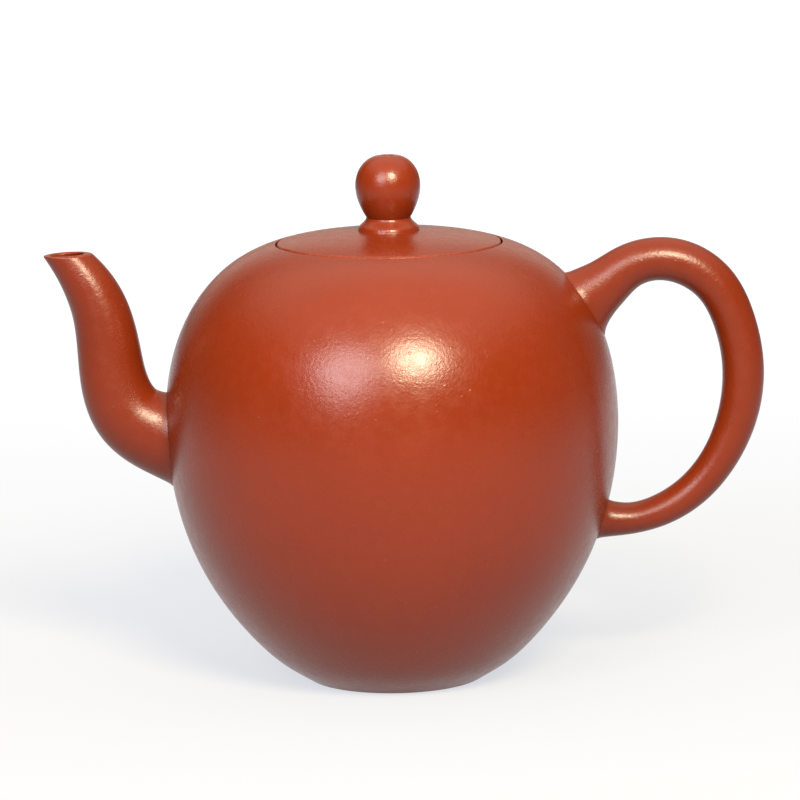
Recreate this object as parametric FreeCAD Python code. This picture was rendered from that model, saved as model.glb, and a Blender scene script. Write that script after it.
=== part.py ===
import FreeCAD, Part
import math
import os

# A small Yixing clay teapot: an egg-shaped body closed by a flush lid, an S-curved spout and an ear handle.
# It is made as the potter makes it, from separate clay pieces that meet face to face where they are luted.
#
# Millimetres. +Z is up. The origin is on the pot's axis, on the plane that the foot stands on.
# The spout points along -X and the handle stands out along +X.

# ---- Driving dimensions ------------------------------------------------------------------------------

# The outside of the body and lid, as (radius, height) from the crown of the lid down to the foot.
BODY_OUTLINE = [
    (0.0, 88.2),
    (12.0, 87.45),
    (22.8, 85.4),
    (31.3, 81.25),
    (37.2, 75.25),
    (41.5, 67.0),
    (43.75, 56.3),
    (43.65, 43.9),
    (41.1, 31.1),
    (36.0, 19.4),
    (28.0, 8.5),
    (22.9, 3.7),
    (17.2, 0.0),
]
WALL = 2.8
SHOULDER_JOINT_HEIGHT = 80.8

FOOT_HEIGHT = 2.0
FOOT_INNER_RADIUS = 13.6
BASE_RADIUS = 16.0
BASE_THICKNESS = 3.0

MOUTH_RADIUS = 19.4
MOUTH_COLLAR_WALL = 3.0
MOUTH_COLLAR_BOTTOM = 76.0

LID_RADIUS = 21.75
LID_RIM_HEIGHT = 85.7
LID_LEDGE_HEIGHT = 84.0
LID_SEAM_GAP = 0.3
LID_RIM_ROUNDING = 0.5
LID_HOLLOW_RADIUS = 15.0
LID_HOLLOW_DEPTH = 1.4
FLANGE_CLEARANCE = 0.12
FLANGE_WALL = 2.9
FLANGE_BOTTOM = 76.6
FLANGE_BEVEL = 0.6

VENT_RADIUS = 1.05
KNOB_FOOT_HEIGHT = 90.5
KNOB_FOOT_RADIUS = 4.25
KNOB_TOP_HEIGHT = 102.5
KNOB_TOP_RADIUS = 1.6
# The ball of the knob between its foot and its flat top, as (radius, height).
KNOB_OUTLINE = [(5.1, 92.0), (5.9, 94.0), (6.32, 96.6), (5.95, 98.9), (4.9, 100.8), (3.0, 102.2)]
# The sloping collar under the knob, as (radius, height) from the knob's foot down to the lid.
COLLAR_OUTLINE = [
    (4.35, 90.5),
    (4.5, 90.1),
    (4.95, 89.6),
    (5.45, 89.15),
    (5.82, 88.75),
    (5.95, 88.35),
    (6.2, 87.6),
]
COLLAR_UNDERCUT_HEIGHT = 86.5

# Centre line of the spout from inside the body to above its mouth: (x, z, half-depth, half-width along Y).
SPOUT_LINE = [
    (-34.3, 43.8, 9.4, 8.2),
    (-43.3, 48.0, 8.3, 7.5),
    (-51.0, 52.6, 7.2, 6.9),
    (-53.3, 57.0, 6.7, 6.6),
    (-54.6, 64.1, 6.2, 6.2),
    (-56.4, 73.7, 5.5, 5.5),
    (-58.6, 78.5, 4.9, 4.9),
    (-62.9, 84.4, 3.7, 3.8),
    (-65.6, 87.6, 3.2, 3.3),
]
SPOUT_LIP = 0.95
SPOUT_ROOT_WALL = 2.3
SPOUT_SECTIONS = 18
SPOUT_MOUTH = (-62.4, 84.35)
SPOUT_MOUTH_TILT_DEG = 2.5

# Centre line of the handle from its upper root to its lower root, continued inside the body at both ends:
# (x, z, half-depth, half-width along Y).
HANDLE_LINE = [
    (34.5, 70.3, 8.8, 5.8),
    (38.3, 74.0, 6.4, 5.2),
    (42.0, 76.9, 5.1, 4.7),
    (46.2, 80.0, 4.4, 4.3),
    (52.0, 81.5, 4.2, 4.2),
    (57.6, 80.4, 4.25, 4.2),
    (62.9, 76.6, 4.2, 4.2),
    (66.8, 69.2, 4.1, 4.2),
    (68.5, 60.0, 4.05, 4.2),
    (67.5, 50.7, 3.9, 4.1),
    (64.0, 42.4, 3.55, 3.9),
    (58.6, 35.9, 3.3, 3.7),
    (52.0, 31.8, 3.1, 3.6),
    (46.0, 30.3, 3.1, 3.6),
    (41.2, 30.4, 3.75, 3.9),
    (37.0, 30.8, 4.9, 4.4),
]
HANDLE_SECTIONS = 34

FILTER_CENTRE = (-40.9, 47.8)
FILTER_RADIUS = 9.6
FILTER_WALL = 1.6
FILTER_HOLE_RADIUS = 0.9
# Rings of holes in the filter ball: (angle from the ball's axis in degrees, number of holes).
FILTER_RINGS = [(0.0, 1), (17.0, 6), (34.0, 12), (51.0, 16)]

# ---- Values that follow from them --------------------------------------------------------------------

FLOOR_HEIGHT = FOOT_HEIGHT + BASE_THICKNESS
FLANGE_RADIUS = MOUTH_RADIUS - FLANGE_CLEARANCE
REACH = 200.0  # longer than the whole pot, for cutting blocks
SECTION_CORNERS = 16  # points that shape each oval section of a spout or handle
EDGE_TOLERANCE = 0.4  # how near an edge's radius and height are to those it is looked up by

ORIGIN = FreeCAD.Vector(0, 0, 0)
X_AXIS = FreeCAD.Vector(1, 0, 0)
Y_AXIS = FreeCAD.Vector(0, 1, 0)
Z_AXIS = FreeCAD.Vector(0, 0, 1)


# ---- Building blocks ---------------------------------------------------------------------------------

def at(x, z, y=0.0):
    return FreeCAD.Vector(x, y, z)


def chord_lengths(points):
    """Running distance along a list of points, which spaces the parameters of a spline through them."""
    lengths = [0.0]
    for previous, current in zip(points, points[1:]):
        lengths.append(lengths[-1] + (current - previous).Length)
    return lengths


def smooth_curve(points, knots=None, start_tangent=None):
    curve = Part.BSplineCurve()
    options = {"Points": points, "Parameters": knots or chord_lengths(points)}
    if start_tangent is not None:
        end_tangent = points[-1] - points[-2]
        end_tangent.normalize()
        options["InitialTangent"] = start_tangent
        options["FinalTangent"] = end_tangent
    curve.interpolate(**options)
    return curve


def turned(edges):
    """A solid of revolution about the pot's axis, from a closed outline of edges in the XZ plane."""
    face = Part.Face(Part.Wire(edges))
    return face.revolve(ORIGIN, Z_AXIS, 360)


def line(start, end):
    return Part.makeLine(start, end)


def disc(radius, bottom, top):
    return Part.makeCylinder(radius, top - bottom, at(0, bottom))


def ring(outer_radius, inner_radius, bottom, top):
    return disc(outer_radius, bottom, top).cut(disc(inner_radius, bottom, top))


def solid_under(curve):
    """The solid of revolution inside a curve that runs from the axis down to its last point."""
    top = curve.value(curve.FirstParameter)
    bottom = curve.value(curve.LastParameter)
    foot = at(0, bottom.z)
    return turned([curve.toShape(), line(bottom, foot), line(foot, top)])


def section(centre, across, half_depth, half_width):
    """A closed oval section of a spout or handle, square to its centre line."""
    points = []
    for corner in range(SECTION_CORNERS):
        angle = 2 * math.pi * corner / SECTION_CORNERS
        in_plane = across * (half_depth * math.cos(angle))
        sideways = Y_AXIS * (half_width * math.sin(angle))
        points.append(centre + in_plane + sideways)
    oval = Part.BSplineCurve()
    oval.interpolate(Points=points, PeriodicFlag=True)
    return Part.Wire(oval.toShape())


def limb(centre_line, count):
    """A solid of changing oval section along a smooth centre line of (x, z, half-depth, half-width)."""
    centres = [at(x, z) for x, z, depth, width in centre_line]
    knots = chord_lengths(centres)
    path = smooth_curve(centres, knots)
    # The third coordinate keeps neighbouring points apart where the section stays the same.
    stations = [FreeCAD.Vector(depth, width, knot) for (x, z, depth, width), knot in zip(centre_line, knots)]
    sizes = smooth_curve(stations, knots)
    sections = []
    for step in range(count):
        place = knots[-1] * step / (count - 1)
        across = path.tangent(place)[0].cross(Y_AXIS)
        size = sizes.value(place)
        sections.append(section(path.value(place), across, size.x, size.y))
    return Part.makeLoft(sections, True)


def edges_near(shape, radius, height):
    """The circular edges about the pot's axis that have this radius and height."""
    found = []
    for edge in shape.Edges:
        box = edge.BoundBox
        misses = [box.XMax - radius, box.ZMin - height, box.ZLength]
        if max(abs(miss) for miss in misses) < EDGE_TOLERANCE:
            found.append(edge)
    return found


# ---- The body's outer and inner surfaces -------------------------------------------------------------

def outer_curve():
    return smooth_curve([at(r, z) for r, z in BODY_OUTLINE], start_tangent=X_AXIS)


def inner_curve():
    """The outside moved inwards by the wall's thickness."""
    outside = outer_curve()
    points = []
    for radius, height in BODY_OUTLINE:
        place = at(radius, height)
        outward = outside.tangent(outside.parameter(place))[0].cross(Y_AXIS)
        points.append(place - outward * WALL)
    return smooth_curve(points, start_tangent=X_AXIS)


OUTSIDE = solid_under(outer_curve())
INSIDE = solid_under(inner_curve()).cut(disc(REACH, -REACH, FLOOR_HEIGHT))


def spout_solid():
    return limb(SPOUT_LINE, SPOUT_SECTIONS)


def spout_bore():
    """The spout's passage: its walls thin out from the root to the lip."""
    last = len(SPOUT_LINE) - 1
    bore_line = []
    for index, (x, z, depth, width) in enumerate(SPOUT_LINE):
        wall = SPOUT_ROOT_WALL + (SPOUT_LIP - SPOUT_ROOT_WALL) * index / last
        bore_line.append((x, z, depth - wall, width - wall))
    return limb(bore_line, SPOUT_SECTIONS)


# ---- The body ----------------------------------------------------------------------------------------

def body_wall():
    wall = OUTSIDE.cut(INSIDE)
    wall = wall.common(disc(REACH, FOOT_HEIGHT, SHOULDER_JOINT_HEIGHT))
    wall = wall.cut(disc(BASE_RADIUS, FOOT_HEIGHT, FLOOR_HEIGHT))
    return wall.cut(spout_bore())


def shoulder_disc():
    slab = OUTSIDE.cut(INSIDE).common(disc(REACH, SHOULDER_JOINT_HEIGHT, REACH))
    slab = slab.cut(disc(MOUTH_RADIUS, 0, REACH))
    return slab.cut(disc(LID_RADIUS + LID_SEAM_GAP, LID_LEDGE_HEIGHT, REACH))


def mouth_collar():
    return ring(MOUTH_RADIUS + MOUTH_COLLAR_WALL, MOUTH_RADIUS, MOUTH_COLLAR_BOTTOM, REACH).common(INSIDE)


def base_disc():
    return disc(BASE_RADIUS, FOOT_HEIGHT, FLOOR_HEIGHT)


def foot_ring():
    return OUTSIDE.common(ring(REACH, FOOT_INNER_RADIUS, 0, FOOT_HEIGHT))


# ---- Spout, filter and handle ------------------------------------------------------------------------

def spout():
    x, z = SPOUT_MOUTH
    above_mouth = Part.makeBox(REACH, REACH, REACH, at(-REACH / 2, 0, -REACH / 2))
    above_mouth.rotate(ORIGIN, Y_AXIS, -SPOUT_MOUTH_TILT_DEG)
    above_mouth.translate(at(x, z))
    return spout_solid().cut(OUTSIDE).cut(spout_bore()).cut(above_mouth)


def ball_filter():
    """A hollow clay ball over the outlet, trimmed by the inside of the wall and pierced in rings."""
    centre = at(*FILTER_CENTRE)
    ball = Part.makeSphere(FILTER_RADIUS, centre).cut(Part.makeSphere(FILTER_RADIUS - FILTER_WALL, centre))
    ball = ball.common(INSIDE)
    for tilt, count in FILTER_RINGS:
        for index in range(count):
            hole = Part.makeCylinder(FILTER_HOLE_RADIUS, 2 * FILTER_WALL + FILTER_RADIUS, centre, X_AXIS)
            hole.rotate(centre, Y_AXIS, tilt)
            hole.rotate(centre, X_AXIS, 360.0 * index / count)
            ball = ball.cut(hole)
    return ball


def handle():
    return limb(HANDLE_LINE, HANDLE_SECTIONS).cut(OUTSIDE)


# ---- The lid -----------------------------------------------------------------------------------------

def vent():
    return disc(VENT_RADIUS, 0, REACH)


def lid_plate():
    plate = OUTSIDE.common(disc(LID_RADIUS, LID_LEDGE_HEIGHT, REACH))
    rim = edges_near(plate, LID_RADIUS, LID_RIM_HEIGHT)
    plate = plate.makeFillet(LID_RIM_ROUNDING, rim)
    ball_radius = (LID_HOLLOW_RADIUS ** 2 + LID_HOLLOW_DEPTH ** 2) / (2 * LID_HOLLOW_DEPTH)
    hollow = Part.makeSphere(ball_radius, at(0, LID_LEDGE_HEIGHT + LID_HOLLOW_DEPTH - ball_radius))
    return plate.cut(hollow).cut(vent())


def lid_flange():
    flange = ring(FLANGE_RADIUS, FLANGE_RADIUS - FLANGE_WALL, FLANGE_BOTTOM, LID_LEDGE_HEIGHT)
    lower_edge = edges_near(flange, FLANGE_RADIUS, FLANGE_BOTTOM)
    return flange.makeChamfer(FLANGE_BEVEL, lower_edge)


def knob_collar():
    top_radius, top = COLLAR_OUTLINE[0]
    bottom_radius, bottom = COLLAR_OUTLINE[-1]
    slope = smooth_curve([at(r, z) for r, z in COLLAR_OUTLINE])
    below = COLLAR_UNDERCUT_HEIGHT
    outline = [
        line(at(0, below), at(0, top)),
        line(at(0, top), at(top_radius, top)),
        slope.toShape(),
        line(at(bottom_radius, bottom), at(bottom_radius, below)),
        line(at(bottom_radius, below), at(0, below)),
    ]
    return turned(outline).cut(OUTSIDE).cut(vent())


def knob():
    foot = at(KNOB_FOOT_RADIUS, KNOB_FOOT_HEIGHT)
    rim = at(KNOB_TOP_RADIUS, KNOB_TOP_HEIGHT)
    ball = smooth_curve([foot] + [at(r, z) for r, z in KNOB_OUTLINE] + [rim])
    outline = [
        line(at(0, KNOB_TOP_HEIGHT), at(0, KNOB_FOOT_HEIGHT)),
        line(at(0, KNOB_FOOT_HEIGHT), foot),
        ball.toShape(),
        line(rim, at(0, KNOB_TOP_HEIGHT)),
    ]
    return turned(outline).cut(vent())


# ---- Export ------------------------------------------------------------------------------------------

PIECES = [
    body_wall,
    shoulder_disc,
    mouth_collar,
    base_disc,
    foot_ring,
    spout,
    ball_filter,
    handle,
    lid_plate,
    lid_flange,
    knob_collar,
    knob,
]


def main():
    os.makedirs("parts", exist_ok=True)
    for make_piece in PIECES:
        piece = make_piece()
        if not piece.isValid() or len(piece.Solids) != 1:
            raise ValueError(f"{make_piece.__name__} is not one valid solid")
        box = piece.BoundBox
        print(
            f"{make_piece.__name__:14} {piece.Volume:9.1f} mm3  x {box.XMin:7.2f} {box.XMax:7.2f}"
            f"  y {box.YMin:7.2f} {box.YMax:7.2f}  z {box.ZMin:7.2f} {box.ZMax:7.2f}"
        )
        piece.Solids[0].exportStep(f"parts/{make_piece.__name__}.step")


main()
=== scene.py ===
import math

import bpy
import numpy as np
from mathutils import Matrix, Vector

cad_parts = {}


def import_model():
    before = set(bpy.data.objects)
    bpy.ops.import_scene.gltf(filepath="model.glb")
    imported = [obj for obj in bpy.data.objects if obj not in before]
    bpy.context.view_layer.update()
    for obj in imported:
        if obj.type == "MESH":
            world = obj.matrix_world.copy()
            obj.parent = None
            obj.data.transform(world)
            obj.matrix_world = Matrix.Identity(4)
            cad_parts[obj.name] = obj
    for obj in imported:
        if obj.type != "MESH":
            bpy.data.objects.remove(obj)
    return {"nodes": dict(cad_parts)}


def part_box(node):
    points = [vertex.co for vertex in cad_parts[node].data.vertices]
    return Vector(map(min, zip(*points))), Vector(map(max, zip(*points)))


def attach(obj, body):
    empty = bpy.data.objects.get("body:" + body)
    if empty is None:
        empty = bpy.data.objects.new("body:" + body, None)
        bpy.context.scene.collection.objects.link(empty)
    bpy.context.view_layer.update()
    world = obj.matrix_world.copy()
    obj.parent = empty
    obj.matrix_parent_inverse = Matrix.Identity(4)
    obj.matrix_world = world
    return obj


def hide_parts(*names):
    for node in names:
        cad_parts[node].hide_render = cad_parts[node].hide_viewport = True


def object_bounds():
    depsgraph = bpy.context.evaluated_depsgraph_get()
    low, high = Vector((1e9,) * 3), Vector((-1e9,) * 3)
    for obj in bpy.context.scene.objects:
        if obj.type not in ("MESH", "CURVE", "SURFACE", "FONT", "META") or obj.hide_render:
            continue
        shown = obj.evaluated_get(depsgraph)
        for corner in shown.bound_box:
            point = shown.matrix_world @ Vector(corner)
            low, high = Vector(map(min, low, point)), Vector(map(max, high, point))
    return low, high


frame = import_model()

# The look of a small Yixing clay teapot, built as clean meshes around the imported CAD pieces.
# Outlines and sizes are millimetres in the CAD frame; meshes, lights and the camera are metres.

cad_low, cad_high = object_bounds()
MM = 0.001

# ---- Shape, as in the CAD source ---------------------------------------------------------------------

# The outside of the body and lid, as (radius, height) from the crown of the lid down to the foot.
BODY_OUTLINE = [
    (0.0, 88.2),
    (12.0, 87.45),
    (22.8, 85.4),
    (31.3, 81.25),
    (37.2, 75.25),
    (41.5, 67.0),
    (43.75, 56.3),
    (43.65, 43.9),
    (41.1, 31.1),
    (36.0, 19.4),
    (28.0, 8.5),
    (22.9, 3.7),
    (17.2, 0.0),
]
WALL = 2.8
MOUTH_COLLAR_WALL = 3.0
LID_SEAM_GAP = 0.3
LID_HOLLOW_RADIUS = 15.0
LID_HOLLOW_DEPTH = 1.4
FLANGE_WALL = 2.9
VENT_RADIUS = 1.05
FOOT_INNER_RADIUS = 13.6

# The knob from its foot to its flat top, and the sloping collar under it, as (radius, height).
KNOB_OUTLINE = [
    (4.25, 90.5),
    (5.1, 92.0),
    (5.9, 94.0),
    (6.32, 96.6),
    (5.95, 98.9),
    (4.9, 100.8),
    (3.0, 102.2),
    (1.6, 102.5),
]
COLLAR_OUTLINE = [
    (4.35, 90.5),
    (4.5, 90.1),
    (4.95, 89.6),
    (5.45, 89.15),
    (5.82, 88.75),
    (5.95, 88.35),
    (6.2, 87.6),
]

# Centre lines of the spout and handle: (x, z, half-depth, half-width along Y).
SPOUT_LINE = [
    (-34.3, 43.8, 9.4, 8.2),
    (-43.3, 48.0, 8.3, 7.5),
    (-51.0, 52.6, 7.2, 6.9),
    (-53.3, 57.0, 6.7, 6.6),
    (-54.6, 64.1, 6.2, 6.2),
    (-56.4, 73.7, 5.5, 5.5),
    (-58.6, 78.5, 4.9, 4.9),
    (-62.9, 84.4, 3.7, 3.8),
    (-65.6, 87.6, 3.2, 3.3),
]
SPOUT_LIP = 0.95
SPOUT_ROOT_WALL = 2.3
SPOUT_MOUTH = (-62.4, 84.35)
SPOUT_MOUTH_TILT = math.radians(2.5)
HANDLE_LINE = [
    (34.5, 70.3, 8.8, 5.8),
    (38.3, 74.0, 6.4, 5.2),
    (42.0, 76.9, 5.1, 4.7),
    (46.2, 80.0, 4.4, 4.3),
    (52.0, 81.5, 4.2, 4.2),
    (57.6, 80.4, 4.25, 4.2),
    (62.9, 76.6, 4.2, 4.2),
    (66.8, 69.2, 4.1, 4.2),
    (68.5, 60.0, 4.05, 4.2),
    (67.5, 50.7, 3.9, 4.1),
    (64.0, 42.4, 3.55, 3.9),
    (58.6, 35.9, 3.3, 3.7),
    (52.0, 31.8, 3.1, 3.6),
    (46.0, 30.3, 3.1, 3.6),
    (41.2, 30.4, 3.75, 3.9),
    (37.0, 30.8, 4.9, 4.4),
]

# ---- Mesh fineness and finish ------------------------------------------------------------------------

AROUND = 256
LIMB_AROUND = 96
ROW_SPACING = 0.9
END_ROW = 0.03  # a close row where a smooth run ends, which keeps its shading true up to the edge
CORNER_STEPS = 6
SHARP_ANGLE = math.radians(32)
DENSE = 2400
FOOT_ROW_SPACING = 0.6
KNOB_ROW_SPACING = 0.3
COLLAR_ROW_SPACING = 0.25
SPOUT_ROWS = 190
PASSAGE_ROWS = 110
HANDLE_ROWS = 330
HOLLOW_ROWS = 200
BASE_RINGS = 16
CROWDING = 0.85  # how strongly a limb's rows crowd together at its ends, from 0 to 1
SAME_PLACE = 1e-4  # neighbouring points that are closer than this are one point

LID_RIM_ROUNDING = 0.55
MOUTH_ROUNDING = 0.22
FOOT_ROUNDING = 0.22
FLOOR_ROUNDING = 2.0
FLANGE_BEVEL = 0.8
VENT_EDGE = 0.25
SOFT_EDGE = 0.4
FINE_EDGE = 0.12
LIP_ROUNDING = 0.34
COLLAR_INLAY = 0.05  # how far the knob's collar is let into the lid's skin

ROOT_DEPTH = 0.35  # how far a limb is pressed into the body's skin
ROOT_FLARE = 0.18  # how far the slip stands out round a root
ROOT_FLARE_REACH = 1.3

# Slow unevenness left by beating and paddling the clay by hand.
WAVE_COUNT = 14
WAVE_PUSH = 0.014
WAVE_LENGTHS = (15.0, 42.0)
WAVE_SEED = 11
WAVE_FULL_HEIGHT = 12.0  # the up-and-down part of the waves fades from here down to nothing at the foot

# The cutter that opens the wall for the spout's passage.
CUTTER_ROWS = 30
CUTTER_SHARE = 0.45  # of the passage's length


# ---- Measures from the frame -------------------------------------------------------------------------

def girth(node):
    """The outer radius of a piece that is round about the pot's axis."""
    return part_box(node)[1].y / MM


def bottom(node):
    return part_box(node)[0].z / MM


def top(node):
    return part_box(node)[1].z / MM


# ---- Curves ------------------------------------------------------------------------------------------

def running_length(points):
    steps = np.linalg.norm(np.diff(points, axis=0), axis=1)
    return np.concatenate([[0.0], np.cumsum(steps)])


class Curve:
    """A smooth curve through points, with a parameter that runs along the chords between them."""

    def __init__(self, points, knots=None, start_slope=None, end_slope=None):
        self.points = np.array(points, float)
        self.knots = running_length(self.points) if knots is None else knots
        start = self.end_slope(slice(0, 4), 0) if start_slope is None else start_slope
        end = self.end_slope(slice(-4, None), -1) if end_slope is None else end_slope
        self.bends = self.solve_bends(np.array(start, float), np.array(end, float))

    def end_slope(self, few, at_end):
        """The slope at one end of the cubic through the four points nearest to it."""
        knots = self.knots[few]
        return np.polyfit(knots - knots[at_end], self.points[few], 3)[2]

    def solve_bends(self, start_slope, end_slope):
        """Second derivatives at the points that join the cubic pieces without a kink."""
        spans = np.diff(self.knots)
        slopes = np.diff(self.points, axis=0) / spans[:, None]
        count = len(self.points)
        matrix = np.zeros((count, count))
        target = np.zeros_like(self.points)
        matrix[0, :2] = 2 * spans[0], spans[0]
        target[0] = 6 * (slopes[0] - start_slope)
        for i in range(1, count - 1):
            matrix[i, i - 1:i + 2] = spans[i - 1], 2 * (spans[i - 1] + spans[i]), spans[i]
            target[i] = 6 * (slopes[i] - slopes[i - 1])
        matrix[-1, -2:] = spans[-1], 2 * spans[-1]
        target[-1] = 6 * (end_slope - slopes[-1])
        return np.linalg.solve(matrix, target)

    def at(self, place):
        place = np.asarray(place, float)
        left = np.clip(np.searchsorted(self.knots, place) - 1, 0, len(self.knots) - 2)
        span = (self.knots[left + 1] - self.knots[left])[..., None]
        far = (place - self.knots[left])[..., None] / span
        near = 1 - far
        straight = near * self.points[left] + far * self.points[left + 1]
        bent = (near ** 3 - near) * self.bends[left] + (far ** 3 - far) * self.bends[left + 1]
        return straight + bent * span ** 2 / 6

    def direction(self, place):
        step = 0.01
        ahead = self.at(np.asarray(place, float) + step) - self.at(np.asarray(place, float) - step)
        return ahead / np.linalg.norm(ahead, axis=-1, keepdims=True)

    def dense(self):
        return self.at(np.linspace(0, self.knots[-1], DENSE))


# ---- The body's outer and inner surfaces -------------------------------------------------------------

def last_chord(points):
    chord = np.subtract(points[-1], points[-2])
    return chord / np.linalg.norm(chord)


def body_curve(points):
    return Curve(points, start_slope=(1.0, 0.0), end_slope=last_chord(points))


def inner_points():
    """The outline's points moved inwards by the wall's thickness."""
    outside = body_curve(BODY_OUTLINE)
    forward = outside.direction(outside.knots)
    inward = np.stack([forward[:, 1], -forward[:, 0]], axis=1)
    return outside.points + inward * WALL


OUTER = body_curve(BODY_OUTLINE).dense()
INNER = body_curve(inner_points()).dense()


def height_at(surface, radius):
    """The height of the upper part of a surface at this radius."""
    upper = surface[:surface[:, 0].argmax()]
    return np.interp(radius, upper[:, 0], upper[:, 1])


def radius_at(surface, height):
    return np.interp(height, surface[::-1, 1], surface[::-1, 0])


def between(surface, start, end):
    """The run of a surface from one place to another, both given as (radius, height)."""
    first = np.linalg.norm(surface - start, axis=1).argmin()
    last = np.linalg.norm(surface - end, axis=1).argmin()
    run = surface[first:last + 1] if first < last else surface[last:first + 1][::-1]
    run = run.copy()
    run[0] = start
    run[-1] = end
    return run


def on(surface, radius=None, height=None):
    """A place on a surface, by its radius near the top or by its height."""
    if height is None:
        return np.array([radius, height_at(surface, radius)])
    return np.array([radius_at(surface, height), height])


def clear_of_body(points):
    """How far points stand outside the body's outer surface."""
    radius = np.hypot(points[..., 0], points[..., 1])
    height = points[..., 2]
    slope = np.gradient(OUTER[:, 0]) / np.gradient(OUTER[:, 1])
    tilt = np.interp(height, OUTER[::-1, 1], slope[::-1])
    return (radius - radius_at(OUTER, height)) / np.sqrt(1 + tilt ** 2)


# ---- Outlines with softened corners ------------------------------------------------------------------

def straight(*places):
    return np.array(places, float)


def resampled(run, start, end, spacing):
    """Evenly spaced points along a run, shortened at both ends, with a close pair at each end."""
    along = running_length(run)
    last = along[-1] - end
    count = max(2, math.ceil((last - start) / spacing) + 1)
    places = np.linspace(start, last, count)
    if last - start > 4 * END_ROW:
        places = np.insert(places, [1, count - 1], [start + END_ROW, last - END_ROW])
    return np.stack([np.interp(places, along, run[:, axis]) for axis in range(2)], axis=1)


def corner_curve(start, corner, end):
    """Points or rings of points along a softened corner, without its two ends."""
    start = np.asarray(start, float)
    step = np.linspace(0, 1, CORNER_STEPS + 1)[1:-1].reshape(-1, *[1] * start.ndim)
    return (1 - step) ** 2 * start + 2 * step * (1 - step) * corner + step ** 2 * end


def outline(corners, spacing=ROW_SPACING):
    """A closed outline and its wear, from (run, softening of the corner at the run's end)."""
    runs = []
    for index, (run, softening) in enumerate(corners):
        softening_before = corners[index - 1][1]
        runs.append(resampled(run, softening_before, softening, spacing))
    rows = []
    wear = []
    for index, (run, softening) in enumerate(corners):
        rows.append(runs[index])
        wear.append(np.zeros(len(runs[index])))
        following = runs[(index + 1) % len(corners)]
        if softening > 0:
            turn = corner_curve(runs[index][-1], run[-1], following[0])
            rows.append(turn)
            wear.append(np.ones(len(turn)))
    rows = np.concatenate(rows)
    wear = np.concatenate(wear)
    apart = np.linalg.norm(rows - np.roll(rows, 1, axis=0), axis=1) > SAME_PLACE
    return rows[apart], wear[apart]


# ---- Meshes ------------------------------------------------------------------------------------------

def uneven(points):
    """Points moved by the slow waves of hand building; the plane that the pot stands on stays flat."""
    chance = np.random.default_rng(WAVE_SEED)
    moved = points.copy()
    for _ in range(WAVE_COUNT):
        heading = chance.normal(size=3)
        heading /= np.linalg.norm(heading)
        length = chance.uniform(*WAVE_LENGTHS)
        push = chance.normal(size=3) * WAVE_PUSH
        phase = chance.uniform(0, 2 * math.pi)
        wave = np.sin(points @ heading * (2 * math.pi / length) + phase)
        moved += wave[..., None] * push
    rooted = np.clip(points[..., 2:] / WAVE_FULL_HEIGHT, 0, 1)
    moved[..., 2:] = points[..., 2:] + (moved[..., 2:] - points[..., 2:]) * rooted
    return moved


def revolved(points):
    """Rows of points round the pot's axis, one row for each (radius, height)."""
    angle = 2 * math.pi * np.arange(AROUND) / AROUND
    radius = points[:, :1]
    height = np.broadcast_to(points[:, 1:], (len(points), AROUND))
    return np.stack([radius * np.cos(angle), radius * np.sin(angle), height], axis=2)


def ring_faces(rows, around, closed):
    """Quads between neighbouring rings of points, and between the last and the first if closed."""
    faces = []
    for row in range(rows if closed else rows - 1):
        following = (row + 1) % rows
        for place in range(around):
            beside = (place + 1) % around
            faces.append((row * around + place, row * around + beside,
                          following * around + beside, following * around + place))
    if not closed:
        faces.append(tuple(range(around))[::-1])
        faces.append(tuple(range((rows - 1) * around, rows * around)))
    return faces


def volume(mesh):
    corners = np.array([[mesh.vertices[v].co for v in t.vertices] for t in mesh.loop_triangles])
    return np.einsum("ij,ij->i", corners[:, 0], np.cross(corners[:, 1], corners[:, 2])).sum()


def mesh_of(name, rows, wear=None, closed=True):
    """A smooth mesh over rings of points in millimetres, facing outwards."""
    count, around, _ = rows.shape
    mesh = bpy.data.meshes.new(name)
    faces = ring_faces(count, around, closed)
    mesh.from_pydata((uneven(rows).reshape(-1, 3) * MM).tolist(), [], faces)
    mesh.calc_loop_triangles()
    if volume(mesh) < 0:
        mesh.flip_normals()
    if wear is not None:
        layer = mesh.attributes.new("wear", "FLOAT", "POINT")
        layer.data.foreach_set("value", np.repeat(wear, around).astype(np.float32))
    smooth(mesh)
    return mesh


def smooth(mesh):
    mesh.polygons.foreach_set("use_smooth", [True] * len(mesh.polygons))
    mesh.set_sharp_from_angle(angle=SHARP_ANGLE)
    mesh.update()


def add_piece(node, body, mesh, material):
    """Puts a finished mesh in place of a CAD node, on its body."""
    made = bpy.data.objects.new(node + "_finished", mesh)
    bpy.context.scene.collection.objects.link(made)
    made.data.materials.append(material)
    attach(made, body)
    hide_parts(node)
    return made


def turned(node, body, corners, material, spacing=ROW_SPACING):
    points, wear = outline(corners, spacing)
    return add_piece(node, body, mesh_of(node, revolved(points), wear), material)


# ---- Limbs: the spout and the handle -----------------------------------------------------------------

class Limb:
    """A rod of changing oval section along a smooth centre line of (x, z, half-depth, half-width)."""

    def __init__(self, centre_line):
        line = np.array(centre_line)
        self.path = Curve(line[:, :2])
        self.sizes = Curve(line[:, 2:], knots=self.path.knots)
        self.end = self.path.knots[-1]

    def surface(self, place, angle):
        """Points on the surface at places along the line and angles round it, arrays of one shape."""
        centre = self.path.at(place)
        forward = self.path.direction(place)
        size = self.sizes.at(place)
        depth = size[..., 0] * np.cos(angle)
        x = centre[..., 0] - forward[..., 1] * depth
        z = centre[..., 1] + forward[..., 0] * depth
        y = size[..., 1] * np.sin(angle)
        return np.stack([x, y, z], axis=-1)


def limb_angles():
    return 2 * math.pi * np.arange(LIMB_AROUND) / LIMB_AROUND


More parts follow.
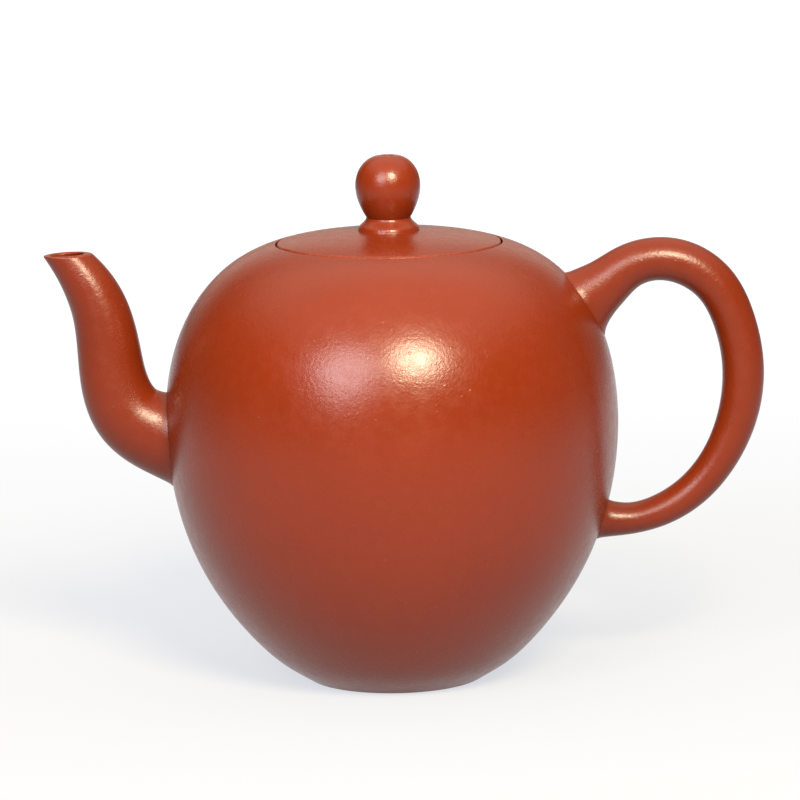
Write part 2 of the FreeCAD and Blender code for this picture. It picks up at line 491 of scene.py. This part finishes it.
def crossing(limb, measure, first, last):
    """For each line along a limb, the place after which the measure stays above zero."""
    places = np.linspace(first, last, DENSE)[:, None] + np.zeros(LIMB_AROUND)
    values = measure(limb.surface(places, limb_angles()))
    below = np.where(values <= 0, np.arange(DENSE)[:, None], -1).max(axis=0)
    line = np.arange(LIMB_AROUND)
    low = values[below, line]
    high = values[below + 1, line]
    share = -low / (high - low)
    return places[below, line] + share * (places[below + 1, line] - places[below, line])


def above_skin(points):
    return clear_of_body(points) + ROOT_DEPTH


def below_mouth(drop):
    """A measure of how far points are below the spout's mouth, lowered by a drop."""
    x, z = SPOUT_MOUTH

    def measure(points):
        across = (points[..., 0] - x) * math.sin(-SPOUT_MOUTH_TILT)
        upright = (points[..., 2] - z) * math.cos(SPOUT_MOUTH_TILT)
        return -(across + upright) - drop
    return measure


def crowded(count):
    """Steps from 0 to 1 that crowd together at both ends."""
    step = np.linspace(0, 1, count)[:, None]
    return step - CROWDING * np.sin(2 * math.pi * step) / (2 * math.pi)


def between_places(limb, start, end, count):
    place = start + (end - start) * crowded(count)
    return limb.surface(place, limb_angles() + np.zeros_like(place))


def outward(rows):
    """Directions square to a grid of rings of points."""
    along = np.gradient(rows, axis=0)
    around = np.roll(rows, -1, axis=1) - np.roll(rows, 1, axis=1)
    square = np.cross(around, along)
    square /= np.linalg.norm(square, axis=-1, keepdims=True)
    centre = rows.mean(axis=1, keepdims=True)
    facing = np.sign((square * (rows - centre)).sum(axis=(1, 2), keepdims=True))
    return square * facing


def flared(rows):
    """Rings of points with the slip's small fillet where they run into the body."""
    clear = np.clip(clear_of_body(rows), 0, None)
    share = np.clip(1 - clear / ROOT_FLARE_REACH, 0, 1)
    return rows + outward(rows) * (ROOT_FLARE * share ** 2)[..., None]


def spout_bore():
    """The spout's passage: its walls thin out from the root to the lip."""
    last = len(SPOUT_LINE) - 1
    bore_line = []
    for index, (x, z, depth, width) in enumerate(SPOUT_LINE):
        wall = SPOUT_ROOT_WALL + (SPOUT_LIP - SPOUT_ROOT_WALL) * index / last
        bore_line.append((x, z, depth - wall, width - wall))
    return Limb(bore_line)


def mouth_ring(limb, drop):
    """The ring of points where a limb meets the mouth's plane, lowered by a drop."""
    place = crossing(limb, below_mouth(drop), limb.end, limb.end / 2)
    return place, limb.surface(place, limb_angles())


def spout_mesh():
    """The spout's outside, rounded lip and passage as one closed surface."""
    outside = Limb(SPOUT_LINE)
    inside = spout_bore()
    root = crossing(outside, above_skin, 0, outside.end / 2)
    inner_root = crossing(inside, above_skin, 0, inside.end / 2)
    lip, lip_ring = mouth_ring(outside, LIP_ROUNDING)
    inner_lip, inner_lip_ring = mouth_ring(inside, LIP_ROUNDING)
    edge = mouth_ring(outside, 0)[1]
    inner_edge = mouth_ring(inside, 0)[1]
    middle = (edge + inner_edge) / 2
    shell = flared(between_places(outside, root, lip, SPOUT_ROWS))
    passage = between_places(inside, inner_lip, inner_root, PASSAGE_ROWS)
    outer_turn = corner_curve(lip_ring, edge, middle)
    inner_turn = corner_curve(middle, inner_edge, inner_lip_ring)
    rows = np.concatenate([shell, outer_turn, middle[None], inner_turn, passage])
    wear = np.zeros(len(rows))
    wear[len(shell):len(rows) - len(passage)] = 1
    return mesh_of("spout", rows, wear)


def handle_mesh():
    limb = Limb(HANDLE_LINE)
    upper = crossing(limb, above_skin, 0, limb.end / 2)
    lower = crossing(limb, above_skin, limb.end, limb.end / 2)
    rows = flared(between_places(limb, upper, lower, HANDLE_ROWS))
    return mesh_of("handle", rows, np.zeros(len(rows)), closed=False)


# ---- Materials ---------------------------------------------------------------------------------------

# The Mix node has one set of sockets for each kind of data, and these are the places of the colour ones.
MIX_COLOUR_A = 6
MIX_COLOUR_B = 7
MIX_COLOUR_RESULT = 2


class Nodes:
    """Builds a node tree in few words. A value that is a socket is linked, and any other is set."""

    def __init__(self, tree):
        self.tree = tree
        tree.nodes.clear()

    def add(self, kind, **values):
        node = self.tree.nodes.new("ShaderNode" + kind)
        for name, value in values.items():
            if hasattr(node, name):
                setattr(node, name, value)
            else:
                self.put(node.inputs[name.replace("_", " ")], value)
        return node

    def put(self, socket, value):
        if isinstance(value, bpy.types.NodeSocket):
            self.tree.links.new(value, socket)
        else:
            socket.default_value = value

    def maths(self, operation, first, second=0.0, third=0.0):
        node = self.add("Math", operation=operation)
        for socket, value in zip(node.inputs, (first, second, third)):
            self.put(socket, value)
        return node.outputs[0]

    def noise(self, where, scale, detail=2.0, roughness=0.5):
        node = self.add("TexNoise", Vector=where, Scale=scale, Detail=detail, Roughness=roughness)
        return node.outputs["Fac"]

    def ramp(self, value, low, high, to_low=0.0, to_high=1.0):
        """A value carried smoothly from one range to another and held there."""
        node = self.add("MapRange", interpolation_type="SMOOTHSTEP", Value=value,
                        From_Min=low, From_Max=high, To_Min=to_low, To_Max=to_high)
        return node.outputs["Result"]

    def mix(self, share, first, second, blend="MIX"):
        node = self.add("Mix", data_type="RGBA", blend_type=blend)
        self.put(node.inputs["Factor"], share)
        self.put(node.inputs[MIX_COLOUR_A], first)
        self.put(node.inputs[MIX_COLOUR_B], second)
        return node.outputs[MIX_COLOUR_RESULT]

    def stretched(self, where, x, y, z):
        return self.add("Mapping", Vector=where, Scale=(x, y, z)).outputs["Vector"]

    def specks(self, where, scale, share, size):
        """Small round grains, in a share of the cells of a scattered grid."""
        cells = self.add("TexVoronoi", Vector=where, Scale=scale)
        chance = self.add("SeparateColor", Color=cells.outputs["Color"]).outputs[0]
        chosen = self.maths("LESS_THAN", chance, share)
        spot = self.ramp(cells.outputs["Distance"], size * 0.5, size, 1.0, 0.0)
        return self.maths("MULTIPLY", chosen, spot)


def colour(red, green, blue):
    return (red, green, blue, 1.0)


def grey(level):
    return colour(level, level, level)


# How many waves or cells of each pattern there are in a metre of clay.
CLOUD_SCALE = 55
MOTTLE_SCALE = 420
CHIP_SCALE = 900
SKIN_SCALE = 1500
DUST_SCALE = 2600
FINE_SCALE = 3600
STROKE_SCALES = (120, 120, 1500)
PALE_SCALE = 520
DARK_SCALE = 430
PIMPLE_SCALE = 620
DARK_STRETCH = (1.07, 0.93, 1.0)  # keeps the dark grains off the grid of the pale ones
PALE_GRAIN = (0.24, 0.065, 0.028, 1.0)
DARK_GRAIN = (0.04, 0.007, 0.003, 1.0)
WORN_TONE = (0.23, 0.045, 0.016, 1.0)


def clay_tone(n, where, tones, cloud, mottle, pale, dark):
    """Mottled tone with pale and dark mineral grains, lighter where an edge is worn."""
    body_tone, deep_tone, light_tone = tones
    dust = n.noise(where, DUST_SCALE, 2)
    tone = n.mix(n.ramp(cloud, 0.3, 0.7), deep_tone, body_tone)
    tone = n.mix(n.ramp(mottle, 0.45, 0.8, 0.0, 0.35), tone, light_tone)
    tone = n.mix(n.ramp(dust, 0.3, 0.6, 0.5, 0.0), tone, deep_tone)
    tone = n.mix(n.maths("MULTIPLY", pale, 0.45), tone, PALE_GRAIN)
    tone = n.mix(n.maths("MULTIPLY", dark, 0.6), tone, DARK_GRAIN)
    wear = n.add("Attribute", attribute_name="wear").outputs["Fac"]
    patchy = n.ramp(n.noise(where, CHIP_SCALE, 2), 0.4, 0.7, 0.05, 0.35)
    return n.mix(n.maths("MULTIPLY", wear, patchy), tone, WORN_TONE)


def clay_roughness(n, roughness, cloud, mottle, pale):
    clouded = n.ramp(cloud, 0.3, 0.7, roughness - 0.01, roughness + 0.01)
    mottled = n.maths("ADD", clouded, n.ramp(mottle, 0.3, 0.7, -0.03, 0.03))
    return n.maths("ADD", mottled, n.maths("MULTIPLY", pale, 0.15))


def clay_relief(n, where, peel, grain, scrape, pimples, pale, dark):
    """The height of the skin in millimetres: peel, fine grain, scraping strokes and small pimples."""
    skin = n.noise(where, SKIN_SCALE, 2.5, 0.6)
    fine = n.noise(where, FINE_SCALE, 2, 0.6)
    strokes = n.noise(n.stretched(where, *STROKE_SCALES), 1, 2, 0.5)
    height = n.maths("MULTIPLY", skin, peel)
    height = n.maths("MULTIPLY_ADD", fine, grain, height)
    height = n.maths("MULTIPLY_ADD", strokes, scrape, height)
    height = n.maths("MULTIPLY_ADD", pale, grain * 2, height)
    height = n.maths("MULTIPLY_ADD", dark, -grain * 3, height)
    return n.maths("MULTIPLY_ADD", n.specks(where, PIMPLE_SCALE, 0.28, 0.22), pimples, height)


def clay(name, tones, roughness, gloss, peel, grain, scrape, pimples):
    """Fired clay with a skin smoothed or scraped by hand. The tones are its body, deep and light ones."""
    material = bpy.data.materials.new(name)
    material.use_nodes = True
    n = Nodes(material.node_tree)
    where = n.add("TexCoord").outputs["Object"]
    cloud = n.noise(where, CLOUD_SCALE, 3)
    mottle = n.noise(where, MOTTLE_SCALE, 3)
    pale = n.specks(where, PALE_SCALE, 0.10, 0.09)
    dark = n.specks(n.stretched(where, *DARK_STRETCH), DARK_SCALE, 0.035, 0.075)
    tone = clay_tone(n, where, tones, cloud, mottle, pale, dark)
    rough = clay_roughness(n, roughness, cloud, mottle, pale)
    height = clay_relief(n, where, peel, grain, scrape, pimples, pale, dark)
    bump = n.add("Bump", Height=height, Strength=1.0, Distance=MM)
    shader = n.add("BsdfPrincipled", Base_Color=tone, Roughness=rough, Normal=bump.outputs["Normal"])
    n.put(shader.inputs["Specular IOR Level"], gloss)
    n.put(n.add("OutputMaterial").inputs["Surface"], shader.outputs["BSDF"])
    return material


BURNISHED = clay(
    "burnished_clay",
    tones=(
        colour(0.134, 0.0148, 0.0022),
        colour(0.126, 0.0135, 0.0019),
        colour(0.148, 0.0178, 0.0030),
    ),
    roughness=0.28,
    gloss=0.34,
    peel=0.042,
    grain=0.003,
    scrape=0.003,
    pimples=0.020,
)
# The spout and the handle are smoothed by the fingers, so their skin is coarser than the body's. Their
# tones are a little darker than the body's, which is painted shade that makes them look dimmer.
FINGERED_AND_SHADED = clay(
    "fingered_and_shaded_clay",
    # Painted shade: these tones are darker than the body's clay so the spout and the handle look dimmer.
    tones=(
        colour(0.116, 0.0128, 0.0020),
        colour(0.109, 0.0118, 0.0018),
        colour(0.129, 0.0156, 0.0028),
    ),
    roughness=0.32,
    gloss=0.3,
    peel=0.052,
    grain=0.010,
    scrape=0.006,
    pimples=0.020,
)
PLAIN = clay(
    "plain_clay",
    tones=(
        colour(0.165, 0.0225, 0.0050),
        colour(0.145, 0.0185, 0.0040),
        colour(0.195, 0.0320, 0.0085),
    ),
    roughness=0.62,
    gloss=0.3,
    peel=0.030,
    grain=0.010,
    scrape=0.030,
    pimples=0.010,
)


# ---- The pieces of the pot ---------------------------------------------------------------------------

FOOT_TOP = top("foot_ring")
FLOOR_HEIGHT = top("base_disc")
BASE_RADIUS = girth("base_disc")
SHOULDER_JOINT = bottom("shoulder_disc")
MOUTH_RADIUS = girth("mouth_collar") - MOUTH_COLLAR_WALL
COLLAR_BOTTOM = bottom("mouth_collar")
LID_RADIUS = girth("lid_plate")
LID_LEDGE = bottom("lid_plate")
REBATE_RADIUS = LID_RADIUS + LID_SEAM_GAP
FLANGE_RADIUS = girth("lid_flange")


def body_wall():
    joint = on(OUTER, height=SHOULDER_JOINT)
    inner_joint = on(INNER, height=SHOULDER_JOINT)
    foot = on(OUTER, height=FOOT_TOP)
    floor = on(INNER, height=FLOOR_HEIGHT)
    floor_edge = (BASE_RADIUS, FLOOR_HEIGHT)
    foot_edge = (BASE_RADIUS, FOOT_TOP)
    wall = turned("body_wall", "pot", [
        (between(OUTER, joint, foot), 0),
        (straight(foot, foot_edge), 0),
        (straight(foot_edge, floor_edge), 0),
        (straight(floor_edge, floor), FLOOR_ROUNDING),
        (between(INNER, floor, inner_joint), 0),
        (straight(inner_joint, joint), 0),
    ], BURNISHED)
    cut_outlet(wall)


def cut_outlet(wall):
    """Opens the wall where the spout's passage goes through it."""
    bore = spout_bore()
    start = np.zeros(LIMB_AROUND)
    rows = between_places(bore, start, start + bore.end * CUTTER_SHARE, CUTTER_ROWS)
    cutter = bpy.data.objects.new("outlet_cutter", mesh_of("outlet_cutter", rows, closed=False))
    bpy.context.scene.collection.objects.link(cutter)
    opening = wall.modifiers.new("outlet", "BOOLEAN")
    opening.operation = "DIFFERENCE"
    opening.solver = "EXACT"
    opening.object = cutter
    bpy.context.view_layer.update()
    depsgraph = bpy.context.evaluated_depsgraph_get()
    evaluated = wall.evaluated_get(depsgraph)
    opened = bpy.data.meshes.new_from_object(evaluated, preserve_all_data_layers=True, depsgraph=depsgraph)
    wall.modifiers.clear()
    wall.data = opened
    smooth(opened)
    bpy.data.objects.remove(cutter)


def shoulder_disc():
    arris = on(OUTER, radius=REBATE_RADIUS)
    joint = on(OUTER, height=SHOULDER_JOINT)
    inner_joint = on(INNER, height=SHOULDER_JOINT)
    inner_mouth = on(INNER, radius=MOUTH_RADIUS)
    ledge = (MOUTH_RADIUS, LID_LEDGE)
    rebate = (REBATE_RADIUS, LID_LEDGE)
    turned("shoulder_disc", "pot", [
        (between(OUTER, arris, joint), 0),
        (straight(joint, inner_joint), 0),
        (between(INNER, inner_joint, inner_mouth), 0),
        (straight(inner_mouth, ledge), FINE_EDGE),
        (straight(ledge, rebate), 0),
        (straight(rebate, arris), MOUTH_ROUNDING),
    ], BURNISHED)


def mouth_collar():
    outer_radius = MOUTH_RADIUS + MOUTH_COLLAR_WALL
    inner_top = on(INNER, radius=MOUTH_RADIUS)
    outer_top = on(INNER, radius=outer_radius)
    turned("mouth_collar", "pot", [
        (between(INNER, inner_top, outer_top), 0),
        (straight(outer_top, (outer_radius, COLLAR_BOTTOM)), SOFT_EDGE),
        (straight((outer_radius, COLLAR_BOTTOM), (MOUTH_RADIUS, COLLAR_BOTTOM)), SOFT_EDGE),
        (straight((MOUTH_RADIUS, COLLAR_BOTTOM), inner_top), 0),
    ], PLAIN)


def foot_ring():
    joint = on(OUTER, height=FOOT_TOP)
    foot = OUTER[-1]
    inner_foot = (FOOT_INNER_RADIUS, 0.0)
    inner_joint = (FOOT_INNER_RADIUS, FOOT_TOP)
    turned("foot_ring", "pot", [
        (between(OUTER, joint, foot), FOOT_ROUNDING),
        (straight(foot, inner_foot), SOFT_EDGE),
        (straight(inner_foot, inner_joint), 0),
        (straight(inner_joint, joint), 0),
    ], BURNISHED, spacing=FOOT_ROW_SPACING)


def base_disc():
    """A plain disc, in rings from the middle of its lower face round to the middle of its upper face."""
    radii = np.linspace(1.0, BASE_RADIUS, BASE_RINGS)
    lower = [(radius, FOOT_TOP) for radius in radii]
    upper = [(radius, FLOOR_HEIGHT) for radius in radii[::-1]]
    points = np.array(lower + upper)
    mesh = mesh_of("base_disc", revolved(points), np.zeros(len(points)), closed=False)
    add_piece("base_disc", "pot", mesh, PLAIN)


def limbs():
    add_piece("spout", "pot", spout_mesh(), FINGERED_AND_SHADED)
    add_piece("handle", "pot", handle_mesh(), FINGERED_AND_SHADED)


# ---- The pieces of the lid ---------------------------------------------------------------------------

def lid_hollow():
    """The shallow ball-shaped hollow under the lid, from its edge up to the vent."""
    ball_radius = (LID_HOLLOW_RADIUS ** 2 + LID_HOLLOW_DEPTH ** 2) / (2 * LID_HOLLOW_DEPTH)
    centre = LID_LEDGE + LID_HOLLOW_DEPTH - ball_radius
    radius = np.linspace(LID_HOLLOW_RADIUS, VENT_RADIUS, HOLLOW_ROWS)
    return np.stack([radius, centre + np.sqrt(ball_radius ** 2 - radius ** 2)], axis=1)


def lid_plate():
    crown = on(OUTER, radius=VENT_RADIUS)
    rim = on(OUTER, radius=LID_RADIUS)
    hollow = lid_hollow()
    turned("lid_plate", "lid", [
        (between(OUTER, crown, rim), LID_RIM_ROUNDING),
        (straight(rim, (LID_RADIUS, LID_LEDGE)), FINE_EDGE),
        (straight((LID_RADIUS, LID_LEDGE), hollow[0]), SOFT_EDGE),
        (hollow, FINE_EDGE),
        (straight(hollow[-1], crown), 0),
    ], BURNISHED)


def lid_flange():
    low = bottom("lid_flange")
    inner_radius = FLANGE_RADIUS - FLANGE_WALL
    turned("lid_flange", "lid_rim", [
        (straight((FLANGE_RADIUS, LID_LEDGE), (FLANGE_RADIUS, low)), FLANGE_BEVEL),
        (straight((FLANGE_RADIUS, low), (inner_radius, low)), SOFT_EDGE),
        (straight((inner_radius, low), (inner_radius, LID_LEDGE)), 0),
        (straight((inner_radius, LID_LEDGE), (FLANGE_RADIUS, LID_LEDGE)), 0),
    ], PLAIN)


def knob_collar():
    """The sloping collar under the knob, let into the lid's skin by a hair."""
    slope = Curve(COLLAR_OUTLINE).dense()
    slope = slope[slope[:, 1] > height_at(OUTER, slope[:, 0]) - COLLAR_INLAY]
    bed = between(OUTER, on(OUTER, radius=VENT_RADIUS), on(OUTER, radius=slope[-1, 0]))
    bed[:, 1] -= COLLAR_INLAY
    bed[-1] = slope[-1]
    shoulder = (VENT_RADIUS, slope[0, 1])
    turned("knob_collar", "lid", [
        (slope, 0),
        (bed[::-1], 0),
        (straight(bed[0], shoulder), 0),
        (straight(shoulder, slope[0]), FINE_EDGE),
    ], BURNISHED, spacing=COLLAR_ROW_SPACING)


def knob():
    ball = Curve(KNOB_OUTLINE).dense()
    foot = (VENT_RADIUS, ball[0, 1])
    crown = (VENT_RADIUS, ball[-1, 1])
    turned("knob", "lid", [
        (ball, FINE_EDGE),
        (straight(ball[-1], crown), VENT_EDGE),
        (straight(crown, foot), 0),
        (straight(foot, ball[0]), FINE_EDGE),
    ], BURNISHED, spacing=KNOB_ROW_SPACING)


def ball_filter():
    """The pierced ball keeps its CAD shape and is given its clay."""
    strainer = frame["nodes"]["ball_filter"]
    strainer.data.materials.clear()
    strainer.data.materials.append(PLAIN)


for make_piece in (body_wall, shoulder_disc, mouth_collar, foot_ring, base_disc, limbs,
                   lid_plate, lid_flange, knob_collar, knob, ball_filter):
    make_piece()


# ---- Floor, light and camera -------------------------------------------------------------------------

# The table glows with painted light: its emission is brightest along a strip that runs back from the pot,
# like a pool of studio light, and dimmer in front and at the sides.
# Distances are metres from the pot: in front of it, to either side, and behind it.
FLOOR_HALF_SIZE = 6.0
FLOOR_NEAR = (-0.45, -0.08)
FLOOR_ASIDE = (0.22, 0.5)
FLOOR_FAR = (0.0, 0.7)
FLOOR_TONE = 0.12
# Strength of the table's painted glow: away from the strip, near the pot, and far behind it.
PAINTED_FLOOR_GLOW = {"outside": 0.25, "pot": 0.67, "far": 0.98}
FLOOR_TINT = (0.97, 1.0, 1.06, 1.0)

# The brightness of the surroundings overhead, level with the pot on each side, and near the horizon.
SKY = {"top": 1.5, "left": 0.08, "right": 0.2, "back": 0.85, "front": 0.06, "band": 0.2}
SKY_TINT = (1.0, 0.89, 0.76, 1.0)

CAMERA_PLACE = (0.0, -0.9016, 0.2131)
CAMERA_AIM = (0.00163, 0.00156, 0.05425)
CAMERA_LEAN = math.radians(-0.97)
CAMERA_LENS = 211.5


def painted_floor_light(n):
    """Painted light: the glow that the table emits, by place, brightest on the strip behind the pot."""
    place = n.add("SeparateXYZ", Vector=n.add("TexCoord").outputs["Object"])
    behind = n.ramp(place.outputs["Y"], *FLOOR_NEAR)
    aside = n.maths("ABSOLUTE", place.outputs["X"])
    on_strip = n.maths("MULTIPLY", behind, n.ramp(aside, *FLOOR_ASIDE, 1.0, 0.0))
    beyond = n.ramp(place.outputs["Y"], *FLOOR_FAR)
    strip = n.mix(beyond, grey(PAINTED_FLOOR_GLOW["pot"]), grey(PAINTED_FLOOR_GLOW["far"]))
    level = n.mix(on_strip, grey(PAINTED_FLOOR_GLOW["outside"]), strip)
    return n.mix(1.0, level, FLOOR_TINT, "MULTIPLY")


def floor():
    """A wide pale tabletop, which also glows with painted light."""
    half = FLOOR_HALF_SIZE
    corners = [(-half, -half, 0), (half, -half, 0), (half, half, 0), (-half, half, 0)]
    mesh = bpy.data.meshes.new("floor")
    mesh.from_pydata(corners, [], [(0, 1, 2, 3)])
    table = bpy.data.objects.new("floor", mesh)
    bpy.context.scene.collection.objects.link(table)
    material = bpy.data.materials.new("pale_floor")
    material.use_nodes = True
    n = Nodes(material.node_tree)
    matt = n.add("BsdfDiffuse", Color=grey(FLOOR_TONE))
    # Painted light: the table emits a glow that lights the pot and brightens the floor, though it is no
    # lamp.
    glow = n.add("Emission", Color=painted_floor_light(n), Strength=1.0)
    both = n.add("AddShader")
    n.put(both.inputs[0], matt.outputs[0])
    n.put(both.inputs[1], glow.outputs[0])
    n.put(n.add("OutputMaterial").inputs["Surface"], both.outputs[0])
    mesh.materials.append(material)


def world():
    """Soft studio surroundings: light above and behind, darker room on the camera's side."""
    sky = bpy.data.worlds.new("studio")
    bpy.context.scene.world = sky
    sky.use_nodes = True
    n = Nodes(sky.node_tree)
    heading = n.add("SeparateXYZ", Vector=n.add("TexCoord").outputs["Generated"])
    x, y, z = heading.outputs
    over = n.ramp(z, 0.45, 0.85)
    band = n.ramp(z, 0.02, 0.12, 1.0, 0.0)
    front = n.ramp(y, -0.75, -0.1, 1.0, 0.0)
    back = n.ramp(y, 0.75, 0.97)
    right = n.ramp(x, -0.25, 0.25)
    sides = n.mix(right, grey(SKY["left"]), grey(SKY["right"]))
    around = n.mix(back, sides, grey(SKY["back"]))
    around = n.mix(front, around, grey(SKY["front"]))
    all_over = n.mix(over, around, grey(SKY["top"]))
    all_over = n.mix(band, all_over, grey(SKY["band"]))
    all_over = n.mix(1.0, all_over, SKY_TINT, "MULTIPLY")
    glow = n.add("Background", Color=all_over, Strength=1.0)
    n.put(n.add("OutputWorld").inputs["Surface"], glow.outputs[0])


def lamp(name, azimuth, elevation, distance, size, power, tint):
    """A round softbox that faces the pot. Azimuth 0 is the camera's side and 90 is towards +X."""
    data = bpy.data.lights.new(name, "AREA")
    data.shape = "DISK"
    data.size = size
    data.energy = power
    data.color = tint
    made = bpy.data.objects.new(name, data)
    bpy.context.scene.collection.objects.link(made)
    turn = math.radians(azimuth)
    rise = math.radians(elevation)
    towards = Vector((math.sin(turn) * math.cos(rise), -math.cos(turn) * math.cos(rise), math.sin(rise)))
    aim = Vector((0, 0, (cad_low.z + cad_high.z) / 2))
    made.location = aim + towards * distance
    made.rotation_euler = towards.to_track_quat("Z", "Y").to_euler()


def camera():
    """A long lens a little above the pot, leaning by about one degree."""
    data = bpy.data.cameras.new("camera")
    data.sensor_width = 36.0
    data.lens = CAMERA_LENS
    data.clip_end = 50.0
    made = bpy.data.objects.new("camera", data)
    bpy.context.scene.collection.objects.link(made)
    place = Vector(CAMERA_PLACE)
    aim = Vector(CAMERA_AIM)
    lean = Matrix.Rotation(CAMERA_LEAN, 4, "Z")
    look = (place - aim).to_track_quat("Z", "Y").to_matrix().to_4x4()
    made.matrix_world = Matrix.Translation(place) @ look @ lean
    bpy.context.scene.camera = made


floor()
world()
lamp("key", azimuth=15, elevation=36.5, distance=1.2, size=0.42, power=33.0, tint=(1.0, 0.88, 0.62))
lamp("second", azimuth=-26, elevation=29, distance=1.2, size=0.62, power=15.0, tint=(0.96, 0.92, 0.92))
camera()
bpy.context.scene.view_settings.view_transform = "Standard"
